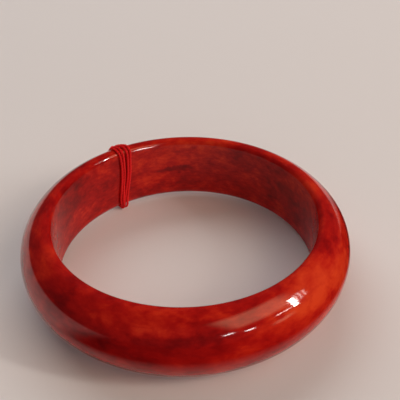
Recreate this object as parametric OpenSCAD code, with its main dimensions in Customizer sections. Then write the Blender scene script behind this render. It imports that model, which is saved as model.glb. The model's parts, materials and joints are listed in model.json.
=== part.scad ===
// Round stone bangle with a flat inner wall and a domed outside, and a length of red
// thread wound around its band four times and tied on the outside.
// Millimetres. The bangle's axis is Z and the origin is its centre.

/* [Band] */
// Diameter of the flat inner wall
inner_d = 56; // [50:0.5:66]
// Height of the band along the bangle's axis
band_h = 15.7; // [14.6:0.1:18]
// Thickness of the band, from the inner wall to the top of the dome
band_t = 7.2; // [6.4:0.1:8]
// Radius of the rounding between the inner wall and the rims
edge_r = 1.25; // [0.8:0.05:1.6]
// Radius of the shoulders, where the rims turn into the dome
shoulder_r = 3.2; // [2.4:0.1:4]

/* [Thread] */
// Diameter of the thread
thread_d = 0.6; // [0.4:0.02:0.7]
// Gap between the thread and the stone
thread_gap = 0.07; // [0.05:0.01:0.15]
// Moves the whole winding round the bangle, in degrees
tie_turn = 0; // [0:1:359]
// Length of the upper loose end
upper_tail = 5; // [3.5:0.5:6]
// Length of the lower loose end
lower_tail = 6.5; // [4:0.5:7]

/* [Colours] */
// Colour of the stone
stone_colour = "firebrick"; // [firebrick, darkred, brown]
// Colour of the thread
thread_colour = "red"; // [red, crimson]

/* [Hidden] */

// --- Band: radii from the bangle's axis, heights from its middle plane ---
inner_r = inner_d / 2;
outer_r = inner_r + band_t;
half_h = band_h / 2;
// The edge rounding and the shoulder meet on top of the rim, at this radius
rim_r = inner_r + edge_r;
// The dome is the arc that touches both shoulders from inside and reaches outer_r
dome_reach = band_t - edge_r;
dome_r = (dome_reach * dome_reach + pow(half_h - shoulder_r, 2) - shoulder_r * shoulder_r)
    / (2 * (dome_reach - shoulder_r));
dome_c = [outer_r - dome_r, 0];
shoulder_c = [rim_r, half_h - shoulder_r];
edge_c = [rim_r, half_h - edge_r];
// Direction, seen from the dome's centre, in which the dome becomes the shoulder
blend_a = atan2(shoulder_c[1] - dome_c[1], shoulder_c[0] - dome_c[0]);
// Longer than any arc's radius, for cutting sectors out of circles
reach = 4 * band_h;

// --- Thread ---
turns = 4;
tube_sides = 8;
strand_r = thread_d / 2;
// Distance from the stone's surface to the middle of the thread
lay = thread_gap + strand_r;
// Width of thread and air that one turn takes up
pitch = thread_d + 0.05;
// Direction of the knot on the dome, up from the dome's widest point
knot_a = 0;

// Where the middle of the winding lies around the bangle, at points along one turn.
// A turn starts at the knot, climbs over the rim, runs down the inner wall and comes back
// under the band. Each row is [how far along the turn, angle in degrees].
lean = [
    [0, 122], [0.12, 121.7], [0.17, 121.6], [0.2, 121.9], [0.23, 121.8], [0.27, 120.9],
    [0.3, 120.5], [0.34, 120.4], [0.43, 120.5], [0.5, 121.2], [0.57, 122.3], [0.64, 123.6],
    [0.7, 123.6], [0.8, 123], [0.9, 122.2], [1, 122]
];
// How far apart the turns lie there, in pitches. They bunch up on both rims.
spread = [
    [0, 1], [0.12, 1], [0.17, 0.8], [0.21, 1], [0.26, 1.5], [0.29, 1.5], [0.34, 1.15],
    [0.41, 1], [0.5, 0.97], [0.57, 0.98], [0.62, 0.9], [0.66, 0.74], [0.7, 0.64],
    [0.76, 0.66], [0.84, 0.9], [0.9, 1], [1, 1]
];
// Extra gap between the second and the third turn there, in pitches
parting = [
    [0, 0], [0.21, 0], [0.26, 0.3], [0.33, 0.5], [0.45, 0.45], [0.54, 0.3], [0.6, 0], [1, 0]
];
// How far the second and the fourth turn are squeezed outwards there, in thread diameters
squeeze = [
    [0, 0], [0.11, 0], [0.16, 0.6], [0.18, 0.6], [0.23, 0], [0.57, 0], [0.62, 0.5],
    [0.66, 0.72], [0.7, 0.8], [0.76, 0.8], [0.83, 0.6], [0.92, 0], [1, 0]
];
// Pitches that a turn has moved sideways there, so that it ends where the next one starts
advance = [[0, 0], [0.78, 0], [0.84, 0.2], [0.96, 0.85], [1, 1]];

// Point of an arc in the plane of the band's section, as [radius, height, direction]
function on_arc(c, r, a) = [c[0] + r * cos(a), c[1] + r * sin(a), a];
// Points along an arc, without its last one
function arc(c, r, a0, a1, n) = [for (i = [0:n - 1]) on_arc(c, r, a0 + (a1 - a0) * i / n)];
// A section point mirrored to the lower half of the band
function below(c) = [c[0], -c[1]];

// Middle line of one turn in the section plane, seen with the bangle's axis on the left
turn_line = concat(
    arc(dome_c, dome_r + lay, knot_a, blend_a, 9),
    arc(shoulder_c, shoulder_r + lay, blend_a, 90, 4),
    arc(edge_c, edge_r + lay, 90, 180, 7),
    [for (i = [0:7]) [inner_r - lay, edge_c[1] * (1 - i / 4), 180]],
    arc(below(edge_c), edge_r + lay, 180, 270, 7),
    arc(below(shoulder_c), shoulder_r + lay, 270, 360 - blend_a, 4),
    arc(dome_c, dome_r + lay, 360 - blend_a, 360 + knot_a, 9),
    [on_arc(dome_c, dome_r + lay, 360 + knot_a)]
);
turn_last = len(turn_line) - 1;
// Length of that line up to point i
function run_to(i) =
    i == 0 ? 0 : run_to(i - 1) + norm([for (k = [0:1]) turn_line[i][k] - turn_line[i - 1][k]]);
turn_length = run_to(turn_last);

// A table's value at t, evened out over a short stretch so that the thread has no kinks.
// The tables repeat from turn to turn, gaining per_turn each time.
even_w = 0.025;
even_n = 4;
function wrapped(t, table, per_turn) = lookup(t - floor(t), table) + per_turn * floor(t);
function evened(t, table, per_turn = 0) =
    let (values = [for (k = [-even_n:even_n]) wrapped(t + even_w * k / even_n, table, per_turn)])
        values * [for (v = values) 1] / len(values);

// Sideways place of a turn there, in pitches from the middle of the winding
function side_step(turn, t) =
    let (place = (turns - 1) / 2 - turn)
        place * evened(t, spread) + sign(place) * evened(t, parting) / 2
            - evened(t, advance, 1);

function degrees_of(width, r) = width / r * 180 / PI;
function turn_angle(turn, t, r) =
    tie_turn + evened(t, lean) + degrees_of(side_step(turn, t) * pitch, r);
// A section point, or a direction in the section, turned around the bangle by a
function around(p, a) = [p[0] * cos(a), p[0] * sin(a), p[1]];

// The whole winding as [point, outward direction], turn after turn
winding = [
    for (turn = [0:turns - 1], i = [0:turn == turns - 1 ? turn_last : turn_last - 1])
        let (
            t = run_to(i) / turn_length,
            out = [cos(turn_line[i][2]), sin(turn_line[i][2])],
            off = turn % 2 * thread_d * evened(t, squeeze),
            p = [for (k = [0:1]) turn_line[i][k] + off * out[k]],
            a = turn_angle(turn, t, p[0])
        )
            [around(p, a), around(out, a)]
];

function unit(v) = v / norm(v);
// Direction of a route at its point i
function heading(route, i) =
    unit(route[min(i + 1, len(route) - 1)][0] - route[max(i - 1, 0)][0]);

// A closed tube along a route from its point i0 to its point i1
module tube(route, i0, i1, r) {
    rings = [
        for (i = [i0:i1])
            let (
                along = heading(route, i),
                across = unit(cross(along, route[i][1])),
                up = cross(across, along)
            )
                for (k = [0:tube_sides - 1])
                    let (a = 360 * (k + 0.5) / tube_sides)
                        route[i][0] + r * (cos(a) * across + sin(a) * up)
    ];
    walls = [
        for (i = [0:i1 - i0 - 1], k = [0:tube_sides - 1])
            let (here = i * tube_sides, next = here + tube_sides, n = (k + 1) % tube_sides)
                [here + k, here + n, next + n, next + k]
    ];
    first_cap = [for (k = [tube_sides - 1:-1:0]) k];
    last_cap = [for (k = [0:tube_sides - 1]) (i1 - i0) * tube_sides + k];
    polyhedron(points = rings, faces = concat([first_cap, last_cap], walls));
}

// --- Knot and loose ends ---
// Radius of the knot's rounded corners, which is half its thickness
knot_r = 0.5;
// From the knot's middle to the middles of its corners, sideways and up the dome
knot_half = 0.6;
knot_up = 0.4;
knot_rise = lay + strand_r + knot_r;
// The knot pulls the two ends together halfway between them
knot_mid = lean[0][1] - degrees_of(pitch / 2, outer_r);

// A point over the dome: side is in mm from the knot, a is up from the widest point,
// and rise is the height off the stone
function over_dome(side, a, rise) =
    let (r = dome_c[0] + (dome_r + rise) * cos(a))
        around([r, (dome_r + rise) * sin(a)], tie_turn + knot_mid + degrees_of(side, r));

// Loose end from the knot over the edge of the winding and down the dome
module tail(hand, spread_out, length) {
    steps = 10;
    side_0 = knot_half;
    side_1 = 2.9 + spread_out;
    fall = degrees_of(length, dome_r);
    route = [
        for (i = [0:steps])
            let (
                t = i / steps,
                side = hand * (side_0 + (side_1 - side_0) * sin(90 * t)),
                a = knot_a - fall * t * sqrt(t),
                rise = lay + (knot_rise - lay) * pow(cos(90 * t), 0.6)
            )
                [over_dome(side, a, rise), unit(over_dome(side, a, 1) - over_dome(side, a, 0))]
    ];
    color(thread_colour) tube(route, 0, steps, strand_r);
}

// Bar with round ends between two points
module bar(from, to, r) {
    hull() {
        translate(from) sphere(r = r, $fn = 16);
        translate(to) sphere(r = r, $fn = 16);
    }
}

// Part of a circle between two directions from its centre
module sector(c, r, a0, a1) {
    mid = (a0 + a1) / 2;
    intersection() {
        translate(c) circle(r = r, $fn = 96);
        polygon([for (a = [a0, mid, a1]) c + reach * [cos(a), sin(a)], c]);
    }
}

// Upper corner of the section: the rounding of the inner edge and the shoulder
module corner() {
    sector(edge_c, edge_r, 90, 180);
    sector(shoulder_c, shoulder_r, blend_a, 90);
}

// The dome, cut where the shoulders take over
module dome() {
    out = reach * [cos(blend_a), sin(blend_a)];
    intersection() {
        translate(dome_c) circle(r = dome_r, $fn = 192);
        polygon([shoulder_c, shoulder_c + out, below(shoulder_c + out), below(shoulder_c)]);
    }
}

// Flat inside, domed outside
module band_section() {
    translate([inner_r, -edge_c[1]]) square([edge_r, 2 * edge_c[1]]);
    corner();
    mirror([0, 1]) corner();
    dome();
}

module bangle_ring() {
    color(stone_colour)
        rotate_extrude($fn = 180) band_section();
}

module thread_turn(turn) {
    color(thread_colour)
        tube(winding, turn * turn_last, (turn + 1) * turn_last, strand_r);
}

// Flat knot on top of the winding, with a leg down to each end of it
module thread_knot() {
    lift = degrees_of(knot_up, dome_r);
    left = over_dome(knot_half, knot_a, knot_rise);
    right = over_dome(-knot_half, knot_a, knot_rise);
    color(thread_colour) {
        hull()
            for (side = [-knot_half, knot_half], a = [knot_a - lift, knot_a + lift])
                translate(over_dome(side, a, knot_rise)) sphere(r = knot_r, $fn = 16);
        bar(left, winding[0][0], strand_r);
        bar(right, winding[turns * turn_last][0], strand_r);
    }
}

module thread_tail_upper() {
    tail(1, 0.9, upper_tail);
}

module thread_tail_lower() {
    tail(-1, 0, lower_tail);
}

bangle_ring();
thread_turn(0);  // thread_turn_1
thread_turn(1);  // thread_turn_2
thread_turn(2);  // thread_turn_3
thread_turn(3);  // thread_turn_4
thread_knot();
thread_tail_upper();
thread_tail_lower();
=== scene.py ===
import json
import math

import bpy
import numpy as np
from mathutils import Matrix, Quaternion, Vector


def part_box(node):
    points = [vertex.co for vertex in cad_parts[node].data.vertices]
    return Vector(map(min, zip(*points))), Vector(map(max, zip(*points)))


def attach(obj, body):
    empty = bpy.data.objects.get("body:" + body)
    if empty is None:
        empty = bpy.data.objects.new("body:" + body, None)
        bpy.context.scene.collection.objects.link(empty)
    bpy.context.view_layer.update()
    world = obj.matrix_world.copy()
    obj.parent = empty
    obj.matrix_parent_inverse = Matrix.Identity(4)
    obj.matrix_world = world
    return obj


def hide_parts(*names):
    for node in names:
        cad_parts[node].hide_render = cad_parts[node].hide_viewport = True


# A polished stone bangle lying on a pale floor, with a red thread wound round its band and
# tied at the back. The stone and the thread are remade here as fine meshes, from the sizes
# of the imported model. Everything is in metres, in the model's own frame.
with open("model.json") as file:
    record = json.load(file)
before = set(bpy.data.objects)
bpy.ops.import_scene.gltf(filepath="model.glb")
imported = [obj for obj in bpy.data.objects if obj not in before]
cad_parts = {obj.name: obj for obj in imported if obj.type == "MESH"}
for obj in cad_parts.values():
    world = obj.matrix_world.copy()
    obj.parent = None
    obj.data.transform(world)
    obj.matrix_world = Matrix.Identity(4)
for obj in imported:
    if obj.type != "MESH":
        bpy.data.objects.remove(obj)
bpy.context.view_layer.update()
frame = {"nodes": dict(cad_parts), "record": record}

MM = 0.001
rng = np.random.default_rng(7)


# --- The band's section, as radii from the axis and heights from the middle plane ---
ring_low, ring_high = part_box("bangle_ring")
opening = next(m for m in frame["record"]["mounts"] if m["name"] == "wrist_opening")["dims"]
INNER_R = opening["r_mm"] * MM
OUTER_R = ring_high.x
HALF_H = ring_high.z
# The mount's length is the flat part of the inner wall, and what is left is its two edges
EDGE_R = HALF_H - opening["length_mm"] * MM / 2
SHOULDER_R = 3.2 * MM
RIM_R = INNER_R + EDGE_R
DOME_REACH = OUTER_R - RIM_R
DOME_R = (DOME_REACH**2 + (HALF_H - SHOULDER_R) ** 2 - SHOULDER_R**2) / (
    2 * (DOME_REACH - SHOULDER_R)
)
DOME_C = (OUTER_R - DOME_R, 0.0)
SHOULDER_C = (RIM_R, HALF_H - SHOULDER_R)
EDGE_C = (RIM_R, HALF_H - EDGE_R)
# Direction, seen from the dome's centre, in which the dome becomes the shoulder
BLEND_A = math.degrees(math.atan2(SHOULDER_C[1] - DOME_C[1], SHOULDER_C[0] - DOME_C[0]))
# Steps of the stone's mesh: round the bangle, over the dome, over each rounding and down
# the flat wall
AROUND, DOME_STEPS, ROUND_STEPS, WALL_STEPS = 420, 44, 14, 20

# Clouds in the stone, listed one by one, and among them patches of painted light and painted
# shade. Each row: direction round the band in degrees, share of the way from the inner wall to
# the top of the dome, share of the way from the middle plane to the rim, half length and half
# height in mm, and how much lighter or darker it is.
CLOUDS_AND_PAINTED_LIGHT = [
    (-99, 0.5, 0.88, 22, 2.6, 0.24),
    # Lighter on the upper front right: partly the stone's own orange, partly painted light and a
    # painted reflection of the curtain lamp
    (-45, 0.6, 0.78, 24, 6, 0.3),
    # Darker on the upper front left, the side turned from the lamps: painted shade
    (-124, 0.7, 0.75, 20, 8, -0.14),
    (-96, 0.97, 0.25, 24, 4, -0.18),
    # Lighter low on the front right: painted light, as if bounced up from the floor
    (-38, 0.97, 0.2, 22, 6, 0.2),
    (-88, 0.7, 0.74, 7, 2.2, -0.26),
    (95, 0, -0.03, 6, 1.2, -0.35),
    (75, 0.07, 0.97, 20, 2.5, 0.14),
    # Darker on the right of the inner wall, which faces away from the lamps: painted shade
    (28, 0, -0.15, 12, 5, -0.2),
    (-18, 0.17, 1, 7, 3, -0.14),
    (22, 0.2, 0.98, 16, 3, 0.12),
    (155, 0, 0.3, 14, 6, -0.3),
]
CLOUD_AND_LIGHT_DEPTH = 4                  # half its size across the band, in mm
CLOUD_AND_LIGHT_FADE = (0.35, 1.15)        # where it starts and ends to fade, in its half sizes
# The outlines of the clouds and of the painted light and shade are pushed about by noise: how
# many mm, and its frequency per mm
WARP_MM, WARP_SCALE = 5.0, 0.4

# --- The thread, with the model's sizes ---
TURNS = 4
THREAD_R = 0.3 * MM
LAY = 0.07 * MM + THREAD_R       # from the stone's surface to the middle of the thread
PITCH = 0.65 * MM                # width of thread and air that one turn takes up
UPPER_TAIL, UPPER_TAIL_SIDE = 5 * MM, 3.8 * MM
LOWER_TAIL, LOWER_TAIL_SIDE = 6.5 * MM, 2.9 * MM
TAIL_SIDE = 0.65 * MM            # from the knot's middle to where a loose end starts
STEP = 0.1 * MM                  # length of the meshes' steps along the thread
SIDES = 8                        # sides of each ply and each fibre
PLIES = 3
PLY_R = 0.14 * MM
PLY_OUT = THREAD_R - PLY_R       # from the thread's middle to a ply's middle
TWIST = 2.4 * MM                 # length of the thread in which its plies go round once
FIBRES = 9                       # loose fibres at each end
FIBRE_R = 0.035 * MM
FIBRE_MM = (0.7, 1.5)            # the shortest and the longest, in mm
FIBRE_ROOT = 0.25 * MM           # how far inside the thread's end they start

# The thread's route. Each row of a table is how far along a turn a value holds, and the
# value. A turn starts at the knot, climbs over the upper rim, runs down the inner wall and
# comes back under the band. Direction round the bangle of the winding's middle, in degrees:
LEAN = [
    [0, 122], [0.12, 121.7], [0.17, 121.6], [0.2, 121.9], [0.23, 121.8], [0.27, 120.9],
    [0.3, 120.5], [0.34, 120.4], [0.43, 120.5], [0.5, 121.2], [0.57, 122.3], [0.64, 123.6],
    [0.7, 123.6], [0.8, 123], [0.9, 122.2], [1, 122],
]
# How far apart the turns lie, in pitches
SPREAD = [
    [0, 1], [0.12, 1], [0.17, 0.8], [0.21, 1], [0.26, 1.5], [0.29, 1.5], [0.34, 1.15],
    [0.41, 1], [0.5, 0.97], [0.57, 0.98], [0.62, 0.9], [0.66, 0.74], [0.7, 0.64],
    [0.76, 0.66], [0.84, 0.9], [0.9, 1], [1, 1],
]
# Extra gap between the second and the third turn, in pitches
PARTING = [
    [0, 0], [0.21, 0], [0.26, 0.3], [0.33, 0.5], [0.45, 0.45], [0.54, 0.3], [0.6, 0], [1, 0],
]
# How far the second and the fourth turn are squeezed outwards, in thread diameters
SQUEEZE = [
    [0, 0], [0.11, 0], [0.16, 0.6], [0.18, 0.6], [0.23, 0], [0.57, 0], [0.62, 0.5],
    [0.66, 0.72], [0.7, 0.8], [0.76, 0.8], [0.83, 0.6], [0.92, 0], [1, 0],
]
# Pitches that a turn has moved sideways, so that it ends where the next one starts
ADVANCE = [[0, 0], [0.78, 0], [0.84, 0.2], [0.96, 0.85], [1, 1]]
# Half the stretch that a table's values are averaged over, and the samples in it
EVEN_W, EVEN_N = 0.025, 4

# The knot: two bights that hold each other, tied over the winding
KNOT_A = 0.0                     # its direction on the dome, up from the widest point
# Its middle, round the bangle: halfway between the winding's two ends
KNOT_MID = LEAN[0][1] - math.degrees(PITCH / 2 / OUTER_R)
KNOT_W = 0.85 * MM               # from the knot's middle to each bight's closed end
BIGHT_R = 0.66 * MM              # half a bight's width near its closed end
NECK_R = 0.26 * MM               # half its width where it leaves the knot
CLOSING = 0.62                   # share of a bight before it starts to close
OPEN_END = 1.05                  # where its open end is, as a share of KNOT_W
KNOT_C = 0.24 * MM               # how far a bight rises and dips as it crosses the other
KNOT_RISE = LAY + 2 * THREAD_R + KNOT_C
KNOT_SKIP = 4                    # points of the winding's ends that the knot takes over
# Where the thread leaves the knot for its lower end: to the left, up and off the stone
KNOT_EXIT = (-1.5 * MM, 0.1 * MM, 1.0 * MM)

# --- Surroundings ---
FLOOR_HALF = 1.6
BACKDROP_R, BACKDROP_LOW, BACKDROP_HIGH = 1.55, -0.2, 1.2
# Direction, round the bangle, in which the thread passes under the band
TIE_AZIMUTH = 125
# The dark card: its height over the floor, its middle direction, the distances from the
# bangle's axis between which it fades in, and the same for the cosine of the angle from its
# middle direction
CARD_RISE = 0.3 * MM
CARD_AZIMUTH = -50
CARD_NEAR = (37 * MM, 45 * MM)
CARD_SIDE = (-0.17, 0.17)
WHITE, WARM, AMBER = (1, 1, 1), (1, 0.95, 0.88), (1, 0.62, 0.38)
# Each row: name, azimuth, elevation, width, height, roll, brightness, colour, use, softness
PANELS = [
    ("window", -17.6, 28, 3.6, 19, -13, 42, WARM, "both", 0),
    ("slat_near", -13.8, 30.5, 1.7, 20, -19, 7, WARM, "reflection", 0.2),
    ("slat_middle", -10.4, 30, 1.7, 19, -19, 8, WARM, "reflection", 0.2),
    ("slat_far", -7.2, 28.5, 1.6, 15, -19, 7, WARM, "reflection", 0.2),
    ("curtain", -38, 46, 50, 34, 0, 2.2, AMBER, "both", 0.25),
    ("sill_far", -66, 22.5, 8.5, 2.8, 20, 22, WHITE, "reflection", 0.3),
    ("sill_middle", -53, 19.8, 7.5, 3.2, 0, 22, WHITE, "reflection", 0.3),
    ("sill_near", -28.5, 23.5, 12, 2, -12, 16, WARM, "reflection", 0.2),
    ("ledge", -32, 10, 20, 10, 0, 2.2, AMBER, "reflection", 0.4),
    ("front_fill", -90, 30, 60, 40, 0, 0.85, WHITE, "light", 0),
    ("right_fill", 0, 35, 60, 40, 0, 0.9, WHITE, "light", 0),
    ("back_fill", 105, 40, 60, 40, 0, 2.5, WHITE, "light", 0),
]
# A strip that only the inner edge beside the thread mirrors, in that direction
EDGE_STRIP = ("edge_strip", -56, 6, 15, 24, 0, 30, WHITE, "reflection", 0.45)
EDGE_STRIP_FAR, EDGE_STRIP_AZIMUTH = 45 * MM, 110


def camera():
    """The photograph's view: from the front and above, a little off centre and rolled."""
    elevation, distance = math.radians(39.25), 140.9 * MM
    pan, tilt, roll = -0.0240, 0.0580, 0.0322
    focal_share = 1.6097
    place = distance * Vector((0, -math.cos(elevation), math.sin(elevation)))
    forward = -place.normalized()
    right = Vector((1, 0, 0))
    up = right.cross(forward)
    turn = Matrix.Rotation(pan, 3, up)
    forward, right = turn @ forward, turn @ right
    turn = Matrix.Rotation(tilt, 3, right)
    forward, up = turn @ forward, turn @ up
    turn = Matrix.Rotation(roll, 3, forward)
    right, up = turn @ right, turn @ up
    data = bpy.data.cameras.new("camera")
    data.sensor_width = 36
    data.lens = focal_share * data.sensor_width
    data.clip_start, data.clip_end = 0.005, 20
    made = bpy.data.objects.new("camera", data)
    bpy.context.scene.collection.objects.link(made)
    axes = Matrix((right, up, -forward)).transposed()
    made.matrix_world = Matrix.Translation(place) @ axes.to_4x4()
    bpy.context.scene.camera = made


# --- Meshes ---
def new_mesh(name, points, faces, material):
    data = bpy.data.meshes.new(name)
    data.from_pydata([tuple(p) for p in points], [], faces)
    data.polygons.foreach_set("use_smooth", [True] * len(data.polygons))
    data.materials.append(material)
    made = bpy.data.objects.new(name, data)
    bpy.context.scene.collection.objects.link(made)
    return made


def arc(centre, radius, start, end, steps):
    """Rows of (radius from the axis, height, direction in degrees), without the last point."""
    a = np.linspace(start, end, steps, endpoint=False)
    r = np.radians(a)
    return np.stack([centre[0] + radius * np.cos(r), centre[1] + radius * np.sin(r), a], 1)


def below(centre):
    return (centre[0], -centre[1])


def wall(radius, steps):
    """The same rows down a straight wall."""
    z = np.linspace(EDGE_C[1], -EDGE_C[1], steps, endpoint=False)
    return np.stack([np.full(steps, radius), z, np.full(steps, 180.0)], 1)


def over_the_wall(rise, shoulder_steps, edge_steps, wall_steps):
    """The section, or a line that rises off it, from the dome's upper end over the rim, down
    the inner wall and back to the dome's lower end."""
    return [
        arc(SHOULDER_C, SHOULDER_R + rise, BLEND_A, 90, shoulder_steps),
        arc(EDGE_C, EDGE_R + rise, 90, 180, edge_steps),
        wall(INNER_R - rise, wall_steps),
        arc(below(EDGE_C), EDGE_R + rise, 180, 270, edge_steps),
        arc(below(SHOULDER_C), SHOULDER_R + rise, 270, 360 - BLEND_A, shoulder_steps),
    ]


def on_circle(r, z, degrees):
    """Points at radius r and height z, in a direction round the bangle."""
    a = np.radians(degrees)
    return np.stack([r * np.cos(a), r * np.sin(a), z], -1)


def ring(polished, inner):
    """The band's section turned round the axis, as one closed skin of quads. The flat inner
    wall has a material of its own."""
    section = np.concatenate([
        arc(DOME_C, DOME_R, -BLEND_A, BLEND_A, DOME_STEPS),
        *over_the_wall(0, ROUND_STEPS, ROUND_STEPS, WALL_STEPS),
    ])
    n = len(section)
    a = np.radians(np.arange(AROUND) * 360 / AROUND)
    points = np.stack([
        section[:, 0] * np.cos(a)[:, None],
        section[:, 0] * np.sin(a)[:, None],
        np.broadcast_to(section[:, 1], (AROUND, n)),
    ], 2).reshape(-1, 3)
    on_wall = (section[:, 2] == 180) & (np.roll(section[:, 2], -1) == 180)
    faces, skins = [], []
    for i in range(AROUND):
        here, following = i * n, (i + 1) % AROUND * n
        for k in range(n):
            after = (k + 1) % n
            faces.append((here + k, following + k, following + after, here + after))
            skins.append(int(on_wall[k]))
    made = new_mesh("stone_ring", points, faces, polished)
    made.data.materials.append(inner)
    made.data.polygons.foreach_set("material_index", skins)
    return made


# --- The thread's route, by the same rules as the model ---
def evened(t, table, per_turn=0):
    """A table's value at t, averaged over a short stretch. The table repeats every turn,
    and gains per_turn each time."""
    x, y = np.array(table, float).T
    total = 0
    for k in range(-EVEN_N, EVEN_N + 1):
        s = t + EVEN_W * k / EVEN_N
        total = total + np.interp(s - np.floor(s), x, y) + per_turn * np.floor(s)
    return total / (2 * EVEN_N + 1)


def turn_line():
    """One turn in the plane of the section: over the rim, down the inner wall and back."""
    return np.concatenate([
        arc(DOME_C, DOME_R + LAY, KNOT_A, BLEND_A, 16),
        *over_the_wall(LAY, 6, 7, 24),
        arc(DOME_C, DOME_R + LAY, 360 - BLEND_A, 360 + KNOT_A, 16),
    ])


def winding():
    """Points along each turn, without its last one, which starts the next turn."""
    line = turn_line()
    steps = np.linalg.norm(np.roll(line[:, :2], -1, axis=0) - line[:, :2], axis=1)
    t = (np.cumsum(steps) - steps) / steps.sum()
    turns = []
    for turn in range(TURNS):
        place = (TURNS - 1) / 2 - turn
        side = place * evened(t, SPREAD) + np.sign(place) * evened(t, PARTING) / 2
        side = side - evened(t, ADVANCE, 1)
        off = turn % 2 * 2 * THREAD_R * evened(t, SQUEEZE)
        r = line[:, 0] + off * np.cos(np.radians(line[:, 2]))
        z = line[:, 1] + off * np.sin(np.radians(line[:, 2]))
        turns.append(on_circle(r, z, evened(t, LEAN) + np.degrees(side * PITCH / r)))
    return turns


def smooth_line(controls):
    """A Catmull-Rom curve through the controls, cut into even steps, and the number of the
    step that is nearest to each control."""
    p = np.array(controls, float)
    p = np.concatenate([[2 * p[0] - p[1]], p, [2 * p[-1] - p[-2]]])
    cuts = 16
    t = np.linspace(0, 1, cuts, endpoint=False)[:, None]
    pieces = []
    for a, b, c, d in zip(p, p[1:], p[2:], p[3:]):
        bend = 2 * a - 5 * b + 4 * c - d
        pieces.append(b + 0.5 * ((c - a) * t + bend * t**2 + (3 * b - 3 * c + d - a) * t**3))
    line = np.concatenate([*pieces, p[-2:-1]])
    lengths = np.linalg.norm(np.diff(line, axis=0), axis=1)
    run = np.concatenate([[0], np.cumsum(lengths)])
    count = round(run[-1] / STEP)
    at = np.linspace(0, run[-1], count + 1)
    even = np.stack([np.interp(at, run, line[:, k]) for k in range(3)], 1)
    return even, np.rint(run[::cuts] / run[-1] * count).astype(int)


def over_dome(side, up, rise):
    """A point by the knot: to its left, up from it along the dome, and off the stone."""
    a = math.radians(KNOT_A) + up / (DOME_R + rise)
    r = DOME_C[0] + (DOME_R + rise) * math.cos(a)
    degrees = KNOT_MID + math.degrees(side / r)
    return on_circle(r, (DOME_R + rise) * math.sin(a), degrees)


def bight(hand):
    """One half of the knot: from its lower open end round its closed end to the upper one.
    It opens towards hand's side, and rises and dips as it crosses the other half."""
    found = []
    for t in np.linspace(-1, 1, 17):
        s = 1 - abs(t)
        across = KNOT_W * (OPEN_END - (1 + OPEN_END) * math.sin(math.pi / 2 * s))
        opening_out = min(1, s / CLOSING)
        wide = NECK_R + (BIGHT_R - NECK_R) * (0.5 - 0.5 * math.cos(math.pi * opening_out))
        close = math.cos(math.pi / 2 * max(0, s - CLOSING) / (1 - CLOSING))
        rise = KNOT_RISE - hand * KNOT_C * math.cos(math.pi * across / KNOT_W)
        found.append(over_dome(hand * across, math.copysign(wide * close, t), rise))
    return found


def tail(hand, side_end, length):
    """A loose end, from the knot off the winding and down the dome, at shares t of it."""
    found = []
    for t in (0.3, 0.45, 0.6, 0.8, 1):
        side = hand * (TAIL_SIDE + (side_end - TAIL_SIDE) * math.sin(math.pi / 2 * t))
        rise = LAY + (KNOT_RISE - LAY) * math.cos(math.pi / 2 * t) ** 0.8
        found.append(over_dome(side, -length * t * math.sqrt(t), rise))
    return found


def thread_route():
    """The whole thread's middle line, from one loose end to the other, and the stretch of
    it, as a first and a last point, that is each node of the model or half of its knot."""
    turns = winding()
    parts = [
        ("thread_tail_upper", tail(1, UPPER_TAIL_SIDE, UPPER_TAIL)[::-1]),
        ("knot_left", bight(1)),
        ("thread_turn_1", turns[0][KNOT_SKIP:]),
        ("thread_turn_2", turns[1]),
        ("thread_turn_3", turns[2]),
        ("thread_turn_4", turns[3][:-KNOT_SKIP]),
        ("knot_right", bight(-1)),
        ("thread_tail_lower", [over_dome(*KNOT_EXIT), *tail(-1, LOWER_TAIL_SIDE, LOWER_TAIL)]),
    ]
    line, marks = smooth_line(np.concatenate([points for _, points in parts]))
    stretches, used = {}, 0
    for name, points in parts:
        first = marks[used]
        used += len(points)
        stretches[name] = (first, marks[min(used, len(marks) - 1)])
    return line, stretches


def carried_frames(line):
    """Two directions across the line at each of its points, which don't turn about it."""
    along = np.gradient(line, axis=0)
    along /= np.linalg.norm(along, axis=1, keepdims=True)
    across = np.cross(along[0], (0, 0, 1))
    found = []
    for direction in along:
        across = across - direction * np.dot(across, direction)
        across /= np.linalg.norm(across)
        found.append(across)
    found = np.array(found)
    return found, np.cross(along, found)


# --- The thread's meshes ---
def tube_rings(line, across, up, radii):
    """Rings of points round a line, one at each of its points."""
    a = 2 * np.pi * np.arange(SIDES) / SIDES
    ring_of = across[:, None] * np.cos(a)[:, None] + up[:, None] * np.sin(a)[:, None]
    return line[:, None] + radii[:, None, None] * ring_of


def add_tube(points, faces, uvs, rings, start):
    """Adds a closed tube. Its UVs run along it in millimetres and once round it."""
    base, count = len(points), len(rings)
    points.extend(rings.reshape(-1, 3))
    faces.append([base + k for k in reversed(range(SIDES))])
    uvs.extend([(start, 0)] * SIDES)
    for i in range(count - 1):
        u0, u1 = start + i * STEP / MM, start + (i + 1) * STEP / MM
        for k in range(SIDES):
            v0, v1 = k / SIDES, (k + 1) / SIDES
            here, beyond = base + i * SIDES, base + (i + 1) * SIDES
            n = (k + 1) % SIDES
            faces.append([here + k, here + n, beyond + n, beyond + k])
            uvs.extend([(u0, v0), (u0, v1), (u1, v1), (u1, v0)])
    faces.append([base + (count - 1) * SIDES + k for k in range(SIDES)])
    uvs.extend([(start + (count - 1) * STEP / MM, 0)] * SIDES)


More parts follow.
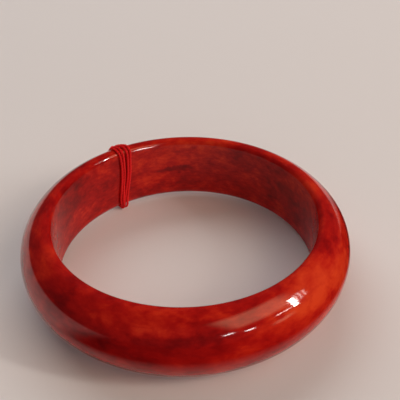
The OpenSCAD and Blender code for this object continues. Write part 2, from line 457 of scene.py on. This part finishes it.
def frayed_end(points, faces, uvs, line, across, up, end):
    """Loose fibres that come out of one end of the thread and spread apart."""
    out = line[end] - line[end - 3 if end else 3]
    out /= np.linalg.norm(out)
    root = line[end] - FIBRE_ROOT * out
    for _ in range(FIBRES):
        turn, wide = rng.uniform(0, 2 * np.pi), rng.uniform(0.1, 1)
        away = across[end] * np.cos(turn) + up[end] * np.sin(turn)
        bent = across[end] * rng.normal() + up[end] * rng.normal()
        t = np.linspace(0, 1, round(rng.uniform(*FIBRE_MM) * MM / STEP))[:, None]
        length = len(t) * STEP
        middle = root + wide * 0.6 * THREAD_R * away + length * t * out
        middle = middle + length * t**2 * (0.3 * wide * away + 0.1 * bent)
        radii = FIBRE_R * (1 - 0.5 * t[:, 0])
        sides = np.broadcast_to(across[end], middle.shape), np.broadcast_to(up[end], middle.shape)
        add_tube(points, faces, uvs, tube_rings(middle, *sides, radii), 0)


def thread_piece(name, line, frames, stretches, material):
    """Stretches of the thread: its plies twisted round each other, and its frayed ends."""
    points, faces, uvs = [], [], []
    across, up = frames
    for first, last in stretches:
        i = np.arange(first, last + 1)
        for ply in range(PLIES):
            phase = 2 * np.pi * (i * STEP / TWIST + ply / PLIES)
            out = across[i] * np.cos(phase)[:, None] + up[i] * np.sin(phase)[:, None]
            middle, radii = line[i] + PLY_OUT * out, np.full(len(i), PLY_R)
            rings = tube_rings(middle, across[i], up[i], radii)
            add_tube(points, faces, uvs, rings, first * STEP / MM)
        for end in {first, last} & {0, len(line) - 1}:
            frayed_end(points, faces, uvs, line, across, up, end)
    made = new_mesh(name, points, faces, material)
    made.data.uv_layers.new(name="fibre").data.foreach_set("uv", np.array(uvs).ravel())
    return made


# --- Materials ---
def new_material(name, values):
    """A material, with values set on its shader's own sockets."""
    material = bpy.data.materials.new(name)
    material.use_nodes = True
    surface = material.node_tree.nodes["Principled BSDF"]
    for key, value in values.items():
        surface.inputs[key].default_value = value
    return material, surface


def add(tree, kind, inputs=None, **settings):
    """Adds a node. Each input is a value, or the socket that feeds it."""
    made = tree.nodes.new("ShaderNode" + kind)
    for key, value in settings.items():
        setattr(made, key, value)
    for key, value in (inputs or {}).items():
        if isinstance(value, bpy.types.NodeSocket):
            tree.links.new(value, made.inputs[key])
        else:
            made.inputs[key].default_value = value
    return made


def maths(tree, operation, a, b=0.0, c=0.0):
    return add(tree, "Math", {0: a, 1: b, 2: c}, operation=operation).outputs[0]


def vectors(tree, operation, a, b=(0, 0, 0), scale=None):
    inputs = {0: a, 1: b}
    if scale is not None:
        inputs["Scale"] = scale
    return add(tree, "VectorMath", inputs, operation=operation).outputs[0]


def length_of(tree, vector):
    return add(tree, "VectorMath", {0: vector}, operation="LENGTH").outputs["Value"]


def smooth_step(tree, value, low, high, at_low=0.0, at_high=1.0):
    """Eases from at_low to at_high as the value goes from low to high."""
    inputs = {0: value, 1: low, 2: high, 3: at_low, 4: at_high}
    return add(tree, "MapRange", inputs, interpolation_type="SMOOTHSTEP").outputs[0]


def ramp(tree, value, stops):
    made = add(tree, "ValToRGB", {"Fac": value})
    marks = made.color_ramp.elements
    while len(marks) < len(stops):
        marks.new(0.5)
    for mark, (place, colour) in zip(marks, stops):
        mark.position = place
        mark.color = (*colour, 1)
    return made.outputs["Color"]


class RoundTheBand:
    """Noise that is stretched along the band, and has no seam anywhere round it."""

    def __init__(self, tree):
        self.tree = tree
        places = add(tree, "TexCoord").outputs["Object"]
        self.places = vectors(tree, "SCALE", places, scale=1 / MM)
        apart = add(tree, "SeparateXYZ", {0: self.places})
        flat = add(tree, "CombineXYZ", {0: apart.outputs[0], 1: apart.outputs[1]}).outputs[0]
        self.direction = vectors(tree, "NORMALIZE", flat)
        self.height = add(tree, "CombineXYZ", {2: apart.outputs[2]}).outputs[0]
        self.radius = length_of(tree, flat)

    def noise(self, long_mm, high_mm, detail, shift, rough=0.5, distortion=0.0):
        """Features long_mm along the band and high_mm across it. shift picks another pattern."""
        tree = self.tree
        along = vectors(tree, "SCALE", self.direction, scale=RIM_R / MM / long_mm)
        high = vectors(tree, "SCALE", self.height, scale=1 / high_mm)
        place = vectors(tree, "ADD", vectors(tree, "ADD", along, high), (shift, -shift, shift))
        depth = maths(tree, "MULTIPLY", self.radius, 1 / high_mm)
        inputs = {
            "Vector": place, "W": depth, "Scale": 1.0, "Detail": detail, "Roughness": rough,
            "Distortion": distortion,
        }
        return add(tree, "TexNoise", inputs, noise_dimensions="4D").outputs["Fac"]


def cloud_and_light(band, ragged, row):
    """How much of one row's patch there is at each point, from 0 to its gain. The rows are clouds
    of the stone's own tone, and patches of painted light and painted shade.
    """
    azimuth, outward, upward, long, high, gain = row
    tree, a = band.tree, math.radians(azimuth)
    radius = (INNER_R + outward * (OUTER_R - INNER_R)) / MM
    local = add(tree, "Mapping", {
        "Vector": ragged,
        "Location": (radius * math.cos(a), radius * math.sin(a), upward * HALF_H / MM),
        "Rotation": (0, 0, a),
        "Scale": (CLOUD_AND_LIGHT_DEPTH, long, high),
    }, vector_type="TEXTURE").outputs[0]
    return smooth_step(tree, length_of(tree, local), *CLOUD_AND_LIGHT_FADE, gain, 0)


def stone_material(name, streaks, roughness, specular):
    """Cloudy polished stone, with patches of painted light and painted shade among its clouds.
    streaks is how strongly its finest noise shows.
    """
    material, surface = new_material(name, {
        "Roughness": roughness, "Specular IOR Level": specular, "IOR": 1.54,
    })
    tree = material.node_tree
    band = RoundTheBand(tree)
    value = 0.5
    for gain, noise in (
        (0.88, band.noise(10, 6, 2, 0, 0.45, 0.8)),
        (0.75, band.noise(3.4, 2.3, 3, 7.3, 0.5, 0.6)),
        (streaks, band.noise(1.3, 0.6, 3, 3.1, 0.65)),
    ):
        centred = maths(tree, "SUBTRACT", noise, 0.5)
        value = maths(tree, "MULTIPLY_ADD", centred, gain, value)
    warp = add(tree, "TexNoise", {"Vector": band.places, "Scale": WARP_SCALE, "Detail": 3.0})
    warp = vectors(tree, "SUBTRACT", warp.outputs["Color"], (0.5, 0.5, 0.5))
    ragged = vectors(tree, "ADD", band.places, vectors(tree, "SCALE", warp, scale=WARP_MM))
    # The rows add clouds of the stone's own tone, and patches of painted light and painted shade
    for row in CLOUDS_AND_PAINTED_LIGHT:
        value = maths(tree, "ADD", value, cloud_and_light(band, ragged, row))
    colour = ramp(tree, value, [
        (0.0, (0.13, 0.0015, 0.0025)),
        (0.3, (0.27, 0.003, 0.003)),
        (0.5, (0.40, 0.006, 0.004)),
        (0.7, (0.54, 0.018, 0.006)),
        (1.0, (0.68, 0.05, 0.012)),
    ])
    tree.links.new(colour, surface.inputs["Base Color"])
    return material


def thread_material():
    """Bright red cord. Fibres run round each ply at a slant, against the twist of the plies."""
    material, surface = new_material("thread_red", {
        "Roughness": 0.7, "IOR": 1.35, "Sheen Weight": 0.05, "Sheen Tint": (1, 0.1, 0.08, 1),
    })
    tree = material.node_tree
    slant_per_mm, fibres_round = 1.1, 6
    along = add(tree, "UVMap", uv_map="fibre").outputs["UV"]
    apart = add(tree, "SeparateXYZ", {0: along})
    slant = maths(tree, "MULTIPLY_ADD", apart.outputs[0], slant_per_mm, apart.outputs[1])
    wave = maths(tree, "SINE", maths(tree, "MULTIPLY", slant, 2 * math.pi * fibres_round))
    place = vectors(tree, "SCALE", add(tree, "TexCoord").outputs["Object"], scale=1 / MM)
    noise = add(tree, "TexNoise", {"Vector": place, "Scale": 9.0, "Detail": 4.0}).outputs["Fac"]
    value = maths(tree, "MULTIPLY_ADD", wave, 0.12, noise)
    colour = ramp(tree, value, [
        (0.25, (0.58, 0.001, 0.003)),
        (0.5, (0.78, 0.003, 0.005)),
        (0.75, (0.92, 0.012, 0.012)),
    ])
    bump = add(tree, "Bump", {"Height": value, "Strength": 0.5, "Distance": 0.03 * MM})
    tree.links.new(colour, surface.inputs["Base Color"])
    tree.links.new(bump.outputs[0], surface.inputs["Normal"])
    return material


# --- Surroundings ---
def direction(azimuth, elevation):
    """A unit vector. Azimuth is from +X, anticlockwise seen from above."""
    a, e = math.radians(azimuth), math.radians(elevation)
    return Vector((math.cos(a) * math.cos(e), math.sin(a) * math.cos(e), math.sin(e)))


def floor_plane(name, rise, material):
    """A square over the floor, which the band's rim touches on one side, and the thread
    under it on the other."""
    thread_low = min(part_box(f"thread_turn_{i + 1}")[0].z for i in range(TURNS))
    tie_side = direction(TIE_AZIMUTH, 0)
    slope = (thread_low - ring_low.z) / (2 * RIM_R)
    middle = (thread_low + ring_low.z) / 2 + rise
    h = FLOOR_HALF
    corners = [(-h, -h), (h, -h), (h, h), (-h, h)]
    points = [(x, y, middle + slope * (x * tie_side.x + y * tie_side.y)) for x, y in corners]
    made = new_mesh(name, points, [(0, 1, 2, 3)], material)
    return made


def floor():
    colour = (0.76, 0.71, 0.69, 1)
    material, _ = new_material("floor_pale", {"Base Color": colour, "Roughness": 0.85})
    floor_plane("floor", 0, material)


def dark_card():
    """A dark card over the floor in front of the bangle, which only shows in reflections."""
    material, surface = new_material("card_dark", {
        "Base Color": (0.01, 0.01, 0.01, 1), "Specular IOR Level": 0,
    })
    tree = material.node_tree
    places = add(tree, "TexCoord").outputs["Object"]
    facing = add(tree, "VectorMath", {
        0: vectors(tree, "NORMALIZE", places), 1: direction(CARD_AZIMUTH, 0),
    }, operation="DOT_PRODUCT").outputs["Value"]
    near = smooth_step(tree, length_of(tree, places), *CARD_NEAR)
    covers = maths(tree, "MULTIPLY", near, smooth_step(tree, facing, *CARD_SIDE))
    tree.links.new(covers, surface.inputs["Alpha"])
    made = floor_plane("card", CARD_RISE, material)
    made.visible_camera = False
    made.visible_diffuse = False
    made.visible_shadow = False


def backdrop():
    """A pale round wall far behind everything, which only the camera sees."""
    material, _ = new_material("backdrop_pale", {
        "Base Color": (0, 0, 0, 1), "Specular IOR Level": 0,
        "Emission Color": (0.62, 0.56, 0.53, 1), "Emission Strength": 1,
    })
    feet = [BACKDROP_R * direction(a, 0) for a in range(0, 360, 4)]
    n = len(feet)
    points = [(p.x, p.y, z) for z in (BACKDROP_LOW, BACKDROP_HIGH) for p in feet]
    faces = [(k, (k + 1) % n, n + (k + 1) % n, n + k) for k in range(n)]
    made = new_mesh("backdrop", points, faces, material)
    made.visible_glossy = False
    made.visible_diffuse = False
    made.visible_shadow = False


def panel(name, azimuth, elevation, wide, high, roll, brightness, colour, use, soft,
          distance=1.4, seen_from=Vector()):
    """A panel of light that looks at a point, wide and high in degrees as seen from there.
    brightness is what a mirror would show of it. It lights, shows as a reflection, or both.
    A soft one fades towards its edges."""
    data = bpy.data.lights.new(name, "AREA")
    data.shape = "RECTANGLE"
    data.size = 2 * distance * math.tan(math.radians(wide / 2))
    data.size_y = 2 * distance * math.tan(math.radians(high / 2))
    data.energy = brightness * math.pi * data.size * data.size_y
    data.color = colour
    if soft:
        data.use_nodes = True
        tree = data.node_tree
        apart = add(tree, "SeparateXYZ", {0: add(tree, "NewGeometry").outputs["Parametric"]})
        fade = 1.0
        for edge in apart.outputs[:2]:
            inward = maths(tree, "PINGPONG", edge, 0.5)
            fade = maths(tree, "MULTIPLY", smooth_step(tree, inward, 0, soft), fade)
        tree.links.new(fade, tree.nodes["Emission"].inputs["Strength"])
    made = bpy.data.objects.new(name, data)
    bpy.context.scene.collection.objects.link(made)
    toward = direction(azimuth, elevation)
    made.location = seen_from + distance * toward
    made.rotation_mode = "QUATERNION"
    facing = (-toward).to_track_quat("-Z", "Y")
    made.rotation_quaternion = facing @ Quaternion((0, 0, 1), math.radians(roll))
    made.visible_camera = False
    made.visible_glossy = use != "light"
    made.visible_diffuse = use != "reflection"


def surroundings():
    floor()
    backdrop()
    dark_card()
    world = bpy.data.worlds.new("room")
    bpy.context.scene.world = world
    world.use_nodes = True
    background = world.node_tree.nodes["Background"]
    background.inputs["Color"].default_value = (0.03, 0.03, 0.03, 1)
    for row in PANELS:
        panel(*row)
    inner_edge = INNER_R * direction(EDGE_STRIP_AZIMUTH, 0) + Vector((0, 0, EDGE_C[1]))
    panel(*EDGE_STRIP, EDGE_STRIP_FAR, inner_edge)


camera()
surroundings()
# The inner wall shows finer streaks, and is polished less, than the rest
stone = ring(
    stone_material("stone_red", 0.35, 0.07, 0.5),
    stone_material("stone_red_inside", 0.85, 0.2, 0.22),
)
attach(stone, "bangle")
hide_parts("bangle_ring")

line, stretches = thread_route()
frames = carried_frames(line)
red = thread_material()
for node in frame["nodes"]:
    if node.startswith("thread_"):
        names = ["knot_left", "knot_right"] if node == "thread_knot" else [node]
        found = [stretches[name] for name in names]
        piece = thread_piece(node.replace("thread_", "plies_"), line, frames, found, red)
        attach(piece, "thread_tie")
        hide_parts(node)

bpy.context.scene.view_settings.view_transform = "Standard"
